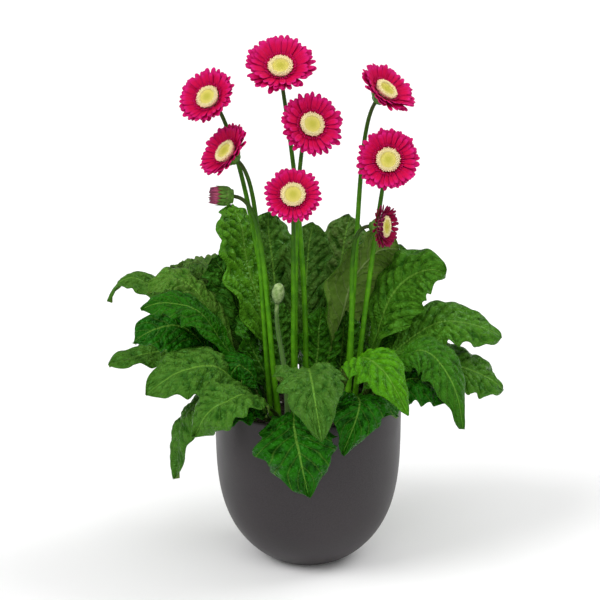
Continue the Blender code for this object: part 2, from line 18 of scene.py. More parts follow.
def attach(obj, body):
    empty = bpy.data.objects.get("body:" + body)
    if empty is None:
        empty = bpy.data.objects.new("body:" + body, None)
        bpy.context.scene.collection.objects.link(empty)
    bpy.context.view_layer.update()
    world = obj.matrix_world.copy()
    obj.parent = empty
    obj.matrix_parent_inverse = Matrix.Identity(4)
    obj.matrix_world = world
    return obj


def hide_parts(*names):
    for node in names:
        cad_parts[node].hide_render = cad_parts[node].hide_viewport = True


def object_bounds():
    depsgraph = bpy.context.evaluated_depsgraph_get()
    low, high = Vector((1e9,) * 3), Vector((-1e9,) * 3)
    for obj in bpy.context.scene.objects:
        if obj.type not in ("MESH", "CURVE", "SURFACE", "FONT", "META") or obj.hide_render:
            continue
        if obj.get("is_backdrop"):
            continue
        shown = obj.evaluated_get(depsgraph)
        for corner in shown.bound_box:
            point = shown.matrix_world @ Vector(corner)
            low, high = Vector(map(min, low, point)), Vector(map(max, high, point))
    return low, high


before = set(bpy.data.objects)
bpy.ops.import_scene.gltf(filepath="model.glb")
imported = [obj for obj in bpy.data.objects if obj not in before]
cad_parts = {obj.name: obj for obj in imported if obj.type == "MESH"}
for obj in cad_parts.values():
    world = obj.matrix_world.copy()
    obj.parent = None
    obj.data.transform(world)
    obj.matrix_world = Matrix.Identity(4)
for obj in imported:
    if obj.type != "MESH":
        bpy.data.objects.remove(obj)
SIZE_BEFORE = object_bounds()
print("nodes:", len(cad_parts), "box:", [tuple(round(c, 3) for c in corner) for corner in SIZE_BEFORE])

# %% [markdown]
# The camera comes first, because it decides how much detail each piece needs. The photograph looks
# down a little, from so far that the pot's sides stay almost parallel: a long lens at 1.6 m and 14
# degrees.

# %% Camera
CAMERA_ELEVATION = math.radians(14)
CAMERA_DISTANCE = 1.6
CAMERA_TARGET = Vector((-0.0083, 0.0, 0.27))
CAMERA_LENS = 95.9           # millimetres, on Blender's 36 mm sensor


def new_object(name, data):
    made = bpy.data.objects.new(name, data)
    bpy.context.scene.collection.objects.link(made)
    return made


camera = new_object("camera", bpy.data.cameras.new("camera"))
camera.data.lens = CAMERA_LENS
back = Vector((0, -math.cos(CAMERA_ELEVATION), math.sin(CAMERA_ELEVATION)))
camera.location = CAMERA_TARGET + back * CAMERA_DISTANCE
camera.rotation_euler = (math.radians(90) - CAMERA_ELEVATION, 0, 0)
bpy.context.scene.camera = camera
print("camera at", tuple(round(c, 3) for c in camera.location))

# %% [markdown]
# A shot on white needs a floor with no edge in sight and soft light. The key light from the left
# rakes over the puckered leaves and glints on them, one from the right draws the pot's other edge, a
# weaker one near the camera fills the shadows, and one overhead keeps the floor pale. All are wide
# sun lamps, as near ones leave the far floor grey. A bright surround would lay a grey veil over the
# leaves, so it is dim, and the standard view transform keeps strong reds and greens.

# %% Floor and light
FLOOR_SIZE = 20.0
# towards each light, its angle in degrees and its strength
LIGHTS = (
    ("key light", (-1.5, -0.9, 1.6), 34, 1.8),
    ("side light", (1.4, 0.4, 1.5), 34, 1.2),
    ("front light", (0.4, -1.8, 1.1), 60, 0.9),
    ("top light", (0.1, -0.2, 1.0), 80, 0.8),
)
SURROUND_STRENGTH = 0.27

floor_mesh = bpy.data.meshes.new("floor")
bm = bmesh.new()
bmesh.ops.create_grid(bm, x_segments=1, y_segments=1, size=FLOOR_SIZE)
bm.to_mesh(floor_mesh)
bm.free()
floor = new_object("floor", floor_mesh)
floor_finish = bpy.data.materials.new("pale floor")
floor_finish.use_nodes = True
floor_shader = floor_finish.node_tree.nodes["Principled BSDF"]
floor_shader.inputs["Base Color"].default_value = (0.93, 0.93, 0.93, 1)
floor_shader.inputs["Roughness"].default_value = 0.9
floor_mesh.materials.append(floor_finish)
floor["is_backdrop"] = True

surround = bpy.data.worlds.new("pale surround")
surround.use_nodes = True
glow = surround.node_tree.nodes["Background"].inputs
glow["Color"].default_value = (1, 1, 1, 1)
glow["Strength"].default_value = SURROUND_STRENGTH
bpy.context.scene.world = surround
bpy.context.scene.view_settings.view_transform = "Standard"

for name, towards, angle, strength in LIGHTS:
    light = new_object(name, bpy.data.lights.new(name, "SUN"))
    light.data.angle = math.radians(angle)
    light.data.energy = strength
    light.location = CAMERA_TARGET + Vector(towards)
    light.rotation_euler = Vector(towards).to_track_quat("Z", "Y").to_euler()
print("stage ready")

# %% [markdown]
# Nothing that grew, was glazed or was moulded has one even colour. So one node group, which every
# material uses, makes soft blotches at any scale and gives a mask and a height, and each material
# sets its own colours with it. The steps that building any node tree takes get short names first.

# %% Helpers for nodes
class Nodes:
    """A node tree under construction."""

    def __init__(self, tree):
        self.tree = tree

    def node(self, kind, **settings):
        made = self.tree.nodes.new(kind)
        for name, value in settings.items():
            setattr(made, name, value)
        return made

    def put(self, value, target):
        if isinstance(value, bpy.types.NodeSocket):
            self.tree.links.new(value, target)
        else:
            target.default_value = value

    def math(self, operation, *values):
        made = self.node("ShaderNodeMath", operation=operation)
        for value, target in zip(values, made.inputs):
            self.put(value, target)
        return made.outputs[0]

    def span(self, value, low, high, to_low=0.0, to_high=1.0, kind="SMOOTHSTEP"):
        """The value's own span from low to high, turned into a span from to_low to to_high."""
        made = self.node("ShaderNodeMapRange", interpolation_type=kind)
        self.put(value, made.inputs["Value"])
        for name, number in (("From Min", low), ("From Max", high), ("To Min", to_low), ("To Max", to_high)):
            made.inputs[name].default_value = number
        return made.outputs["Result"]

    def sheet_map(self):
        return self.node("ShaderNodeUVMap", uv_map="sheet").outputs["UV"]

    def sheet_place(self):
        """Across from 0 to 1 and along from 0 to 1, from the piece's own UV map."""
        parts = self.node("ShaderNodeSeparateXYZ")
        self.put(self.sheet_map(), parts.inputs[0])
        return parts.outputs["X"], parts.outputs["Y"]


class Group(Nodes):
    """A node group under construction, with its named inputs and outputs."""

    def __init__(self, name, inputs, outputs):
        super().__init__(bpy.data.node_groups.new(name, "ShaderNodeTree"))
        new_socket = self.tree.interface.new_socket
        for name, value in inputs.items():
            new_socket(name, in_out="INPUT", socket_type="NodeSocketFloat").default_value = value
        for name in outputs:
            new_socket(name, in_out="OUTPUT", socket_type="NodeSocketFloat")
        self.given = self.node("NodeGroupInput").outputs
        self.results = self.node("NodeGroupOutput").inputs

    def texture(self, kind, **settings):
        """A texture on Object coordinates, with the group's inputs on its sockets of like name."""
        made = self.node(kind, **settings)
        self.put(self.node("ShaderNodeTexCoord").outputs["Object"], made.inputs["Vector"])
        for source in self.given:
            if source.name in made.inputs:
                self.put(source, made.inputs[source.name])
        return made


# %% The shared blotch group
BLOTCH_LOW, BLOTCH_HIGH = 0.35, 0.65      # the noise between these fills the mask from 0 to 1


def blotch_group():
    made = Group("blotches", {"Scale": 60.0, "Detail": 4.0}, ("Mask", "Height"))
    cloud = made.texture("ShaderNodeTexNoise").outputs["Fac"]
    made.put(made.span(cloud, BLOTCH_LOW, BLOTCH_HIGH, kind="LINEAR"), made.results["Mask"])
    made.put(cloud, made.results["Height"])
    return made.tree


BLOTCHES = blotch_group()


class Finish(Nodes):
    """A material under construction. Its plain settings go on the shader's own sockets."""

    def __init__(self, name, roughness, **plain):
        self.material = bpy.data.materials.new(name)
        self.material.use_nodes = True
        super().__init__(self.material.node_tree)
        self.shader = self.tree.nodes["Principled BSDF"]
        self.shader.inputs["Roughness"].default_value = roughness
        for words, value in plain.items():
            self.shader.inputs[words.replace("_", " ")].default_value = value

    def mix(self, share, first, second):
        made = self.node("ShaderNodeMix", data_type="RGBA")
        self.put(share, made.inputs[0])
        for value, target in ((first, made.inputs[6]), (second, made.inputs[7])):
            self.put(value if isinstance(value, bpy.types.NodeSocket) else (*value, 1.0), target)
        return made.outputs[2]

    def wash(self, mask, share, under, over):
        """One colour laid over another where the mask is, at most as thick as the share."""
        return self.mix(self.math("MULTIPLY", mask, share), under, over)

    def blotches(self, scale, detail=4.0):
        made = self.node("ShaderNodeGroup", node_tree=BLOTCHES)
        made.inputs["Scale"].default_value = scale
        made.inputs["Detail"].default_value = detail
        return made.outputs

    def attribute(self, name):
        return self.node("ShaderNodeAttribute", attribute_name=name).outputs["Fac"]

    def colour(self, value):
        self.put(value, self.shader.inputs["Base Color"])

    def roughness(self, mask, low, high):
        self.put(self.span(mask, 0.0, 1.0, low, high), self.shader.inputs["Roughness"])

    def bump(self, height, distance, strength=1.0):
        made = self.node("ShaderNodeBump")
        made.inputs["Distance"].default_value = distance
        made.inputs["Strength"].default_value = strength
        self.put(height, made.inputs["Height"])
        self.put(made.outputs["Normal"], self.shader.inputs["Normal"])


print("shared group:", BLOTCHES.name)

# %% [markdown]
# Leaves, petals and the scales of a cup are thin sheets. A grid gives each its cells, one extrusion
# gives it a second face and an edge, and a formula says where every point goes. The grid's own
# coordinates are kept as a UV map, so a material can follow the sheet.

# %% Sheets and tubes
def faces_of(verts):
    return list(dict.fromkeys(face for vert in verts for face in vert.link_faces))


def blend(low, high, share):
    return low + (high - low) * share


def around(out, angle, height):
    return Vector((out * math.cos(angle), out * math.sin(angle), height))


def stand(point, direction):
    """A place at the point, with its own +Z turned towards the direction."""
    turn = Vector((0, 0, 1)).rotation_difference(Vector(direction).normalized())
    return Matrix.Translation(point) @ turn.to_matrix().to_4x4()


def write_uv(bm, spots):
    layer = bm.loops.layers.uv.get("sheet") or bm.loops.layers.uv.new("sheet")
    for vert, (across, along) in spots.items():
        for loop in vert.link_loops:
            loop[layer].uv = ((across + 1) / 2, along)


def add_sheet(bm, columns, rows, place, under_finish=0):
    """A thin closed sheet. place(across, along, under) says where each point of a face goes.

    Gives back every point with its across, from -1 to 1, and its along, from 0 to 1.
    """
    upper = bmesh.ops.create_grid(bm, x_segments=columns, y_segments=rows, size=1.0)["verts"]
    grown = bmesh.ops.extrude_face_region(bm, geom=faces_of(upper), use_keep_orig=True)["geom"]
    lower = [item for item in grown if isinstance(item, bmesh.types.BMVert)]
    for item in grown:
        if isinstance(item, bmesh.types.BMFace):
            item.material_index = under_finish
    spots = {vert: (vert.co.x, (vert.co.y + 1) / 2) for vert in upper + lower}
    write_uv(bm, spots)
    for group, under in ((upper, False), (lower, True)):
        for vert in group:
            vert.co = place(*spots[vert], under)
    return spots


def add_tube(bm, sides, stops, ridge=0.0, ridges=1):
    """A closed tube through stops of (point, direction, radius)."""
    verts = bmesh.ops.create_grid(bm, x_segments=sides, y_segments=len(stops) - 1, size=1.0)["verts"]
    spots = {vert: (vert.co.x, (vert.co.y + 1) / 2) for vert in verts}
    write_uv(bm, spots)
    rims = carried_frames(stops)
    for vert in verts:
        across, along = spots[vert]
        point, side, other, radius = rims[round(along * (len(stops) - 1))]
        angle = math.pi * across
        radius *= 1 + ridge * math.cos(ridges * angle)
        vert.co = point + (side * math.cos(angle) + other * math.sin(angle)) * radius
    bmesh.ops.remove_doubles(bm, verts=verts, dist=1e-6)
    whole = [vert for vert in verts if vert.is_valid]
    edges = list(dict.fromkeys(edge for vert in whole for edge in vert.link_edges if edge.is_boundary))
    bmesh.ops.holes_fill(bm, edges=edges, sides=sides)


def carried_frames(stops):
    """Point, side, other side and radius at each stop, with no twist from one to the next."""
    side = Vector((1, 0, 0))
    frames = []
    for point, direction, radius in stops:
        side = (side - side.dot(direction) * direction).normalized()
        frames.append((point, side, direction.cross(side), radius))
    return frames


def finish_piece(name, bm, finishes, node=None):
    """Makes the object, seats it on the frame and hides the solid of the node it stands for, if any."""
    bmesh.ops.recalc_face_normals(bm, faces=bm.faces)
    mesh = bpy.data.meshes.new(name)
    bm.to_mesh(mesh)
    bm.free()
    for finish in finishes:
        mesh.materials.append(finish)
    mesh.shade_smooth()
    made = new_object(name, mesh)
    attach(made, "root")
    if node:
        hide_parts(node)
    mesh.calc_loop_triangles()
    print(f"{name}: {len(mesh.loop_triangles)} triangles")


# %% [markdown]
# The cover pot is glazed stoneware, a body of revolution, so its profile is spun. It follows the
# solid's curve with many more points, a rounded lip and a small foot with a shadow line over it. The
# glaze is charcoal, satin, and faintly speckled.

# %% Cover pot
POT_HEIGHT = 0.168
POT_RADIUS = 0.0945
POT_FOOT_RADIUS = 0.034
POT_FALL_POWER = 4.0
POT_SWELL_POWER = 1.3
POT_RING_POWER = 1.6         # crowds the rings towards the foot, where the side curves most
POT_WALL = 0.0045
POT_FLOOR = 0.01
POT_FLOOR_RADIUS = 0.047
POT_STEPS = 144
POT_RINGS = 60
FOOT_RING_RADIUS = 0.036
FOOT_RING_HEIGHT = 0.0014
FOOT_BEVEL = 0.0006
LIP_POINTS = 9


def pot_side(height):
    fall = 1.0 - height / POT_HEIGHT
    swell = (1.0 - fall**POT_FALL_POWER) ** (1.0 / POT_SWELL_POWER)
    return blend(POT_FOOT_RADIUS, POT_RADIUS, swell)


def spin_profile(bm, profile, steps):
    points = [bm.verts.new((radius, 0.0, height)) for radius, height in profile]
    line = [bm.edges.new(pair) for pair in zip(points, points[1:])]
    bmesh.ops.spin(
        bm, geom=points + line, cent=(0, 0, 0), axis=(0, 0, 1),
        angle=2 * math.pi, steps=steps, use_merge=True,
    )
    bmesh.ops.remove_doubles(bm, verts=bm.verts, dist=1e-6)


def pot_profile():
    heights = [POT_HEIGHT * (i / POT_RINGS) ** POT_RING_POWER for i in range(1, POT_RINGS)]
    lip = POT_WALL / 2
    outside = [(pot_side(z), z) for z in heights if FOOT_RING_HEIGHT < z < POT_HEIGHT - lip]
    rim = []
    for i in range(LIP_POINTS):
        angle = math.pi * i / (LIP_POINTS - 1)
        rim.append((POT_RADIUS - lip + lip * math.cos(angle), POT_HEIGHT - lip + lip * math.sin(angle)))
    inside = [(pot_side(z) - POT_WALL, z) for z in heights if POT_FLOOR * 2 < z < POT_HEIGHT - lip]
    foot = [(0.0, 0.0), (FOOT_RING_RADIUS - FOOT_BEVEL, 0.0)]
    foot += [(FOOT_RING_RADIUS, FOOT_BEVEL), (FOOT_RING_RADIUS, FOOT_RING_HEIGHT)]
    return foot + outside + rim + inside[::-1] + [(POT_FLOOR_RADIUS, POT_FLOOR), (0.0, POT_FLOOR)]


def glaze():
    made = Finish("charcoal glaze", 0.46, Specular_IOR_Level=0.31, Coat_Weight=0.12, Coat_Roughness=0.4)
    wide, _ = made.blotches(14.0, 3.0)
    fine, height = made.blotches(900.0, 2.0)
    body = made.mix(wide, (0.014, 0.0105, 0.0122), (0.021, 0.016, 0.0183))
    made.colour(made.wash(fine, 0.3, body, (0.045, 0.039, 0.042)))
    made.roughness(wide, 0.42, 0.52)
    made.bump(height, 0.00012, 0.35)
    return made.material


bm = bmesh.new()
spin_profile(bm, pot_profile(), POT_STEPS)
finish_piece("glazed_pot", bm, [glaze()], "cover_pot")

# %% [markdown]
# The grow pot is thin black plastic with a rolled rim. Only its rim and upper wall show, in the gap
# between the leaves, so a spun profile is enough.

# %% Grow pot
GROW_FOOT = 0.0103
GROW_TOP = 0.16
GROW_FOOT_RADIUS = 0.044
GROW_TOP_RADIUS = 0.079
GROW_WALL = 0.0013
GROW_LIP = 0.0035
GROW_STEPS = 96


def grow_pot_profile():
    low = GROW_TOP - GROW_LIP
    share = (low - GROW_FOOT) / (GROW_TOP - GROW_FOOT)
    wall_top = blend(GROW_FOOT_RADIUS, GROW_TOP_RADIUS, share)
    middle = GROW_TOP - GROW_LIP / 2
    out = GROW_TOP_RADIUS + GROW_LIP
    floor_height = GROW_FOOT + GROW_WALL
    return [
        (0.0, GROW_FOOT), (GROW_FOOT_RADIUS, GROW_FOOT), (wall_top, low),
        (out - 0.0008, low), (out, middle), (out - 0.0008, GROW_TOP),
        (GROW_TOP_RADIUS - GROW_WALL, GROW_TOP),
        (wall_top - GROW_WALL, low), (GROW_FOOT_RADIUS - GROW_WALL, floor_height),
        (0.0, floor_height),
    ]


def black_plastic():
    made = Finish("black plastic", 0.45)
    mask, height = made.blotches(160.0)
    made.colour(made.mix(mask, (0.01, 0.01, 0.01), (0.018, 0.017, 0.016)))
    made.roughness(mask, 0.4, 0.6)
    made.bump(height, 0.0001, 0.4)
    return made.material


bm = bmesh.new()
spin_profile(bm, grow_pot_profile(), GROW_STEPS)
finish_piece("plastic_pot", bm, [black_plastic()], "grow_pot")

# %% [markdown]
# Potting mix is dark peat with crumbs and some white grains of perlite. The solid plug already has
# its holes and its uneven top, so it stays and gets a peat material. The crumbs are small balls,
# pressed out of shape, scattered on the top by a seeded draw.

# %% Potting mix
MIX_TOP = 0.15
MIX_REACH = 0.074
CRUMBS = 760
PERLITE_SHARE = 0.05
CRUMB_SIZES = (0.0009, 0.0026)
CRUMB_SEAT = 0.15            # height of a crumb's middle over the mix, per radius


def peat():
    made = Finish("peat", 0.95)
    wide, _ = made.blotches(90.0)
    fine, height = made.blotches(700.0, 6.0)
    dark = made.mix(fine, (0.009, 0.006, 0.0045), (0.03, 0.019, 0.012))
    made.colour(made.wash(wide, 0.5, dark, (0.06, 0.04, 0.027)))
    made.bump(height, 0.0012)
    return made.material


def perlite():
    made = Finish("perlite", 0.9)
    mask, height = made.blotches(900.0)
    made.colour(made.mix(mask, (0.55, 0.52, 0.46), (0.78, 0.76, 0.71)))
    made.bump(height, 0.0004)
    return made.material


def make_crumbs():
    rng = random.Random(11)
    bm = bmesh.new()
    for _ in range(CRUMBS):
        out = MIX_REACH * math.sqrt(rng.random())
        angle = rng.uniform(0, 2 * math.pi)
        size = rng.uniform(*CRUMB_SIZES)
        shape = Matrix.Diagonal((1.0, rng.uniform(0.5, 1.0), rng.uniform(0.4, 0.8), 1.0))
        turn = Matrix.Rotation(rng.uniform(0, 2 * math.pi), 4, "Z")
        place = Matrix.Translation(around(out, angle, MIX_TOP + size * CRUMB_SEAT))
        ball = bmesh.ops.create_icosphere(bm, subdivisions=1, radius=size, matrix=place @ turn @ shape)
        pale = rng.random() < PERLITE_SHARE
        for face in faces_of(ball["verts"]):
            face.material_index = int(pale)
    finish_piece("peat_crumbs", bm, [PEAT, perlite()])


PEAT = peat()
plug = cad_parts["potting_mix"]
plug.data.materials.clear()
plug.data.materials.append(PEAT)
make_crumbs()

# %% [markdown]
# A gerbera leaf is long, cut into shallow rounded lobes, and puckered. The form is the solid's own
# formula, which keeps the leaf in its place, with three finer things on it. Side veins lean towards
# the tip, one to each lobe and one to each notch, the blade is quilted between them, and small cells
# pucker it.

# %% The leaves' places
Leaf = namedtuple("Leaf", "name base middle tip half_width roll youth dust")


def metres(millimetres):
    if isinstance(millimetres, tuple):
        return tuple(part / 1000 for part in millimetres)
    return millimetres / 1000


def numbered(side, *rows):
    """Leaves from rows of base, middle, tip and half width, all in millimetres, and the rest."""
    return [
        Leaf(f"{side}_{i}", *(metres(value) for value in row[:4]), *row[4:])
        for i, row in enumerate(rows, 1)
    ]


# roll is in degrees. youth runs from 0, an old dark leaf, to 1, a bright new one, and the grey of
# dust and painted sheen from 0, clean, to 1, greyish; the painted sheen lies thickest on the crests.
# The crown leaves are small ones that fill the gaps between the stems.
LEAVES = numbered(
    "left",
    ((-50, 20), (-154, 50, 268), (-204, 46, 256), 15, -30, 0.35, 0.5),
    ((-50, -2), (-110, 10, 274), (-160, 2, 276), 24, -26, 0.8, 0.65),
    ((-58, 6), (-118, -2, 236), (-176, -4, 226), 32, -36, 0, 0),
    ((-56, 28), (-122, 52, 202), (-208, 44, 190), 24, -24, 0.35, 0.4),
    ((-42, -20), (-92, -54, 216), (-158, -74, 194), 35, -28, 0.3, 0.4),
    ((-26, -26), (-68, -104, 202), (-110, -118, 166), 31, -10, 0.35, 0.4),
    ((-52, -24), (-110, -54, 180), (-132, -64, 104), 19, 0, 0.2, 0.4),
    ((-34, -36), (-66, -80, 182), (-102, -106, 168), 28, 0, 0, 0),
    ((-44, 34), (-96, 66, 284), (-146, 90, 266), 34, 0, 0.3, 0.8),
    ((-46, -10), (-102, -20, 256), (-164, -34, 268), 22, -34, 0.12, 0),
)
LEAVES += numbered(
    "back",
    ((-32, 18), (-60, 40, 294), (-78, 60, 356), 37, 6, 1, 0.25),
    ((-18, 32), (-36, 84, 274), (-42, 104, 340), 33, 0, 0.3, 0.5),
    ((-4, 36), (-2, 64, 274), (6, 86, 332), 26, 0, 0.2, 0.6),
    ((20, 42), (32, 100, 266), (46, 134, 330), 34, 0, 0.3, 0.9),
    ((44, 38), (80, 88, 258), (102, 104, 302), 32, 10, 0.2, 0.4),
    ((12, 22), (44, 46, 278), (94, 52, 312), 42, -64, 0.6, 0.3),
)
LEAVES += numbered(
    "right",
    ((54, 14), (86, 18, 270), (138, 6, 296), 35, 46, 0.55, 0.25),
    ((56, 2), (118, 10, 238), (196, 16, 226), 31, 36, 0.55, 0.3),
    ((50, -10), (112, -40, 228), (152, -60, 154), 26, 32, 0.25, 0.15),
    ((63, -6), (134, 0, 200), (198, 6, 174), 32, 34, 0.45, 0.35),
    ((50, -24), (94, -42, 198), (146, -42, 176), 28, 24, 0, 0),
)
LEAVES += numbered(
    "front",
    ((28, -22), (52, -78, 232), (94, -120, 188), 27, 18, 0.9, 0),
    ((4, -24), (0, -94, 226), (12, -144, 170), 34, 0, 0.2, 0.45),
    ((-8, -36), (-14, -108, 176), (0, -124, 108), 44, 0, 0, 0),
    ((16, -36), (48, -92, 198), (32, -118, 148), 29, 0, 0, 0),
    ((34, -34), (62, -74, 184), (86, -94, 178), 25, 0, 0.1, 0),
)
LEAVES += numbered(
    "rear",
    ((-34, 40), (-68, 92, 204), (-100, 144, 174), 34, 0, 0.2, 0.2),
    ((-6, 46), (-8, 110, 200), (-12, 182, 156), 36, 0, 0.3, 0.3),
    ((30, 46), (58, 100, 206), (100, 166, 170), 35, 0, 0.15, 0.2),
    ((56, 28), (100, 56, 216), (154, 88, 192), 35, 16, 0.25, 0.2),
)
CROWN_LEAVES = numbered(
    "crown",
    ((-36, 12), (-54, 18, 208), (-66, 24, 254), 25, 0, 0.2, 0.1),
    ((-20, 22), (-27, 36, 208), (-31, 48, 258), 23, 0, 0.3, 0.3),
    ((4, 20), (10, 34, 206), (14, 44, 252), 24, 0, 0.3, 0.1),
    ((26, 22), (34, 40, 202), (40, 50, 246), 24, 0, 0.2, 0.2),
    ((52, 12), (70, 26, 204), (86, 34, 238), 23, 0, 0.3, 0.1),
    ((-50, 14), (-88, 34, 256), (-122, 44, 296), 27, -22, 0.2, 0.6),
    ((-50, 2), (-82, 4, 196), (-112, 4, 216), 24, -40, 0, 0),
    ((44, -2), (64, -14, 186), (86, -22, 198), 18, 0, 0.3, 0),
    ((-44, 20), (-76, 40, 262), (-98, 50, 302), 26, -20, 0.1, 0.2),
    ((-42, -14), (-62, -30, 208), (-80, -44, 196), 20, -50, 0, 0),
)
print("leaves:", len(LEAVES), "and small ones:", len(CROWN_LEAVES))

# %% The leaf's form
SHANK = 0.003
ROOT_DEPTH = 0.009
BARE_SHARE = 0.2             # of the midrib's length that has no blade
STALK_HALF_WIDTH = 0.0029
STALK_CROWN = 0.0009
STALK_KEEL = 0.0038
STALK_EDGE = 0.0012
BLADE_START = 0.1
BLADE_WIDEST = 0.55
BLADE_BASE_POWER = 0.6
BLADE_TIP_POWER = 0.8
ROUND_TIP_POWER = 0.5
ROUND_TIPPED = ("left_4", "left_7", "right_2", "right_4")
SLIM_BASE_POWER = 1.5
SLIM_BASED = ("front_3",)
SMOOTH_EDGED = ("right_1", "right_5", "left_8")
SMOOTH_SHARE = 0.4           # of the usual depth of lobes and scallops
BLADE_EDGE = 0.0007          # thickness at the edge and over the midrib
BLADE_RIB = 0.0022
FOLD = 0.3                   # rise of a half blade from the midrib, per half width
ARCH = 0.42
RIPPLE = 0.08
LOBES = 5
LOBE_DEPTH_BASE = 0.22
LOBE_DEPTH_TIP = 0.09
LOBE_DRIFT = 0.22            # how unevenly the lobes are spaced
LOBE_SWEEP = 0.12
LOBES_FROM = 0.38            # share of the blade from which the lobes have their full depth
ROLL_SHARE = 0.4
LEAF_COLUMNS = 34
LEAF_ROWS = 124
SIDE_VEINS = 2 * LOBES       # on each side
VEIN_SLANT = 0.22            # how far along a side vein starts before it reaches the edge
QUILT = 0.0038               # height of the swelling between two veins
BRICKS = 3.4                 # blisters from the midrib to the edge
QUILT_WIDTH = 0.028          # half width from which the blade has its full quilting
PUCKER = 0.0034              # depth of the dimples between the small cells
PUCKER_SCALE = 120.0
BLADE_LENGTH = 0.13          # usual, which sets the length of a small cell
# the full tone is the darkest painted shade in a groove or the palest painted light on a crest
SWELL_SPAN = 0.0022          # a swelling this high or this deep has its full tone
TEETH = 0.035                # depth of the scallops on the edge, per half width
TEETH_COUNT = 12
TEETH_FROM = 0.4             # the same for the scallops
WAVE = 0.006                 # slow swells of the whole blade
EDGE_WAVE = 0.2              # unevenness of the ripple along the edge, per half width


def midrib_frame(leaf, share):
    """Point, tangent, side and upper normal at a share of the midrib's length."""
    start = Vector((*leaf.base, MIX_TOP + SHANK))
    tip = Vector(leaf.tip)
    control = 2 * Vector(leaf.middle) - (start + tip) / 2
    point = (1 - share) ** 2 * start + 2 * share * (1 - share) * control + share**2 * tip
    tangent = ((1 - share) * (control - start) + share * (tip - control)).normalized()
    outward = tip - start
    side = Vector((-outward.y, outward.x, 0.0))
    side = (side - side.dot(tangent) * tangent).normalized()
    turn = math.radians(leaf.roll) * min(share / ROLL_SHARE, 1.0)
    side.rotate(Matrix.Rotation(turn, 3, tangent))
    return point, tangent, side, tangent.cross(side)


def drift(leaf, b, hand, scale):
    """A smooth wander between -1 and 1 along one edge, different for each leaf."""
    return noise.noise(Vector((b * scale, hand * 7.0 + leaf.tip[1] * 90, leaf.tip[0] * 130)))


def blade_outline(leaf, b, hand):
    """Half width at a share b of the blade, per widest half width, with lobes and scallops."""
    tip_power = ROUND_TIP_POWER if leaf.name in ROUND_TIPPED else BLADE_TIP_POWER
    slim = leaf.name in SLIM_BASED and b < BLADE_WIDEST
    base_power = SLIM_BASE_POWER if slim else BLADE_BASE_POWER
    full = (b / BLADE_WIDEST) ** base_power * ((1 - b) / (1 - BLADE_WIDEST)) ** tip_power
    usual = SMOOTH_SHARE if leaf.name in SMOOTH_EDGED else 1.0
    depth = usual * blend(LOBE_DEPTH_BASE, LOBE_DEPTH_TIP, b)
    depth *= (1 + drift(leaf, b, hand, 4.0)) * min(b / LOBES_FROM, 1.0)
    notch = 0.5 + 0.5 * hand * math.cos(2 * math.pi * (LOBES * b + LOBE_DRIFT * drift(leaf, b, hand, 3.0)))
    scallop = abs(math.sin(math.pi * (TEETH_COUNT * b + 0.5 * drift(leaf, b, hand, 6.0)))) - 0.7
    teeth = usual * TEETH * min(b / TEETH_FROM, 1.0) * scallop * (1 + drift(leaf, b, hand, 9.0))
    return full * (1 - depth * notch + teeth)


def quilting(leaf, b, t, half_width):
    """How far the blade swells above its veins, in rows of blisters set like bricks."""
    phase = SIDE_VEINS * (b - VEIN_SLANT * abs(t))
    brick = BRICKS * abs(t) + 0.5 * math.floor(phase) + 0.5 * drift(leaf, b, 3 * t, 8.0)
    swell = abs(math.sin(math.pi * phase)) ** 0.5 * (0.6 + 0.4 * abs(math.sin(math.pi * brick)) ** 0.6)
    swell = swell * (1 + 0.6 * drift(leaf, b, 3 * t, 9.0)) - 0.55
    fade = min(abs(t) * 5, 1.0) * min((1 - abs(t)) * 4, 1.0)
    spot = Vector((t * half_width, b * BLADE_LENGTH, leaf.tip[0])) * PUCKER_SCALE
    cell = noise.voronoi(spot)[0][0]
    return fade * min(half_width / QUILT_WIDTH, 1.0) * (QUILT * swell - PUCKER * (1.6 * cell * cell - 0.4))


def blade_at(leaf, t, v):
    """How far along the blade a point lies, on which hand, and the blade's half width there."""
    b = (v - BARE_SHARE) / (1 - BARE_SHARE)
    hand = 1 if t >= 0 else -1
    return b, hand, leaf.half_width * blade_outline(leaf, max(b, 0.0), hand)


def leaf_swell(leaf, t, v):
    """Tone of a point: 1 on the top of a swelling and -1 in the bottom of a groove."""
    # This tone sets the painted shade in the grooves and the painted light on the crests of the leaf face.
    b, _, half_width = blade_at(leaf, t, v)
    return quilting(leaf, b, t, half_width) / SWELL_SPAN if b > 0 else 0.0


def leaf_point(leaf, t, v, under):
    """A point of the leaf. t runs across from -1 to 1, and v along from the mix to the tip."""
    b, hand, blade_width = blade_at(leaf, t, v)
    blade = min(max(b / BLADE_START, 0.0), 1.0)
    half_width = max(blade_width, STALK_HALF_WIDTH * (1 - blade), BLADE_EDGE)
    arch = half_width * (FOLD * abs(t) - ARCH * t * t)
    ripple = RIPPLE * math.cos(2 * math.pi * LOBES * b) * hand + EDGE_WAVE * drift(leaf, b, hand, 7.0)
    swell = WAVE * noise.noise(Vector((b * 3.0, t * 1.2, leaf.tip[0] * 170)))
    relief = arch + ripple * leaf.half_width * t * t + swell + quilting(leaf, b, t, half_width)
    up = blade * relief + (1 - blade) * STALK_CROWN * (1 - t * t)
    if under:
        thick = blend(BLADE_EDGE, BLADE_RIB, (1 - abs(t)) ** 6)
        stem = blend(STALK_EDGE, STALK_KEEL, 1 - t * t)
        up -= blade * thick + (1 - blade) * stem
    point, tangent, side, normal = midrib_frame(leaf, v)
    if v == 0.0:
        side = Vector((side.x, side.y, 0.0)).normalized()
        foot = Vector((*leaf.base, MIX_TOP - ROOT_DEPTH))
        return foot + side * t * half_width + Vector((0, 0, 1)).cross(side) * up
    ahead = blade * LOBE_SWEEP * abs(t) * half_width
    return point + side * t * half_width + normal * up + tangent * ahead
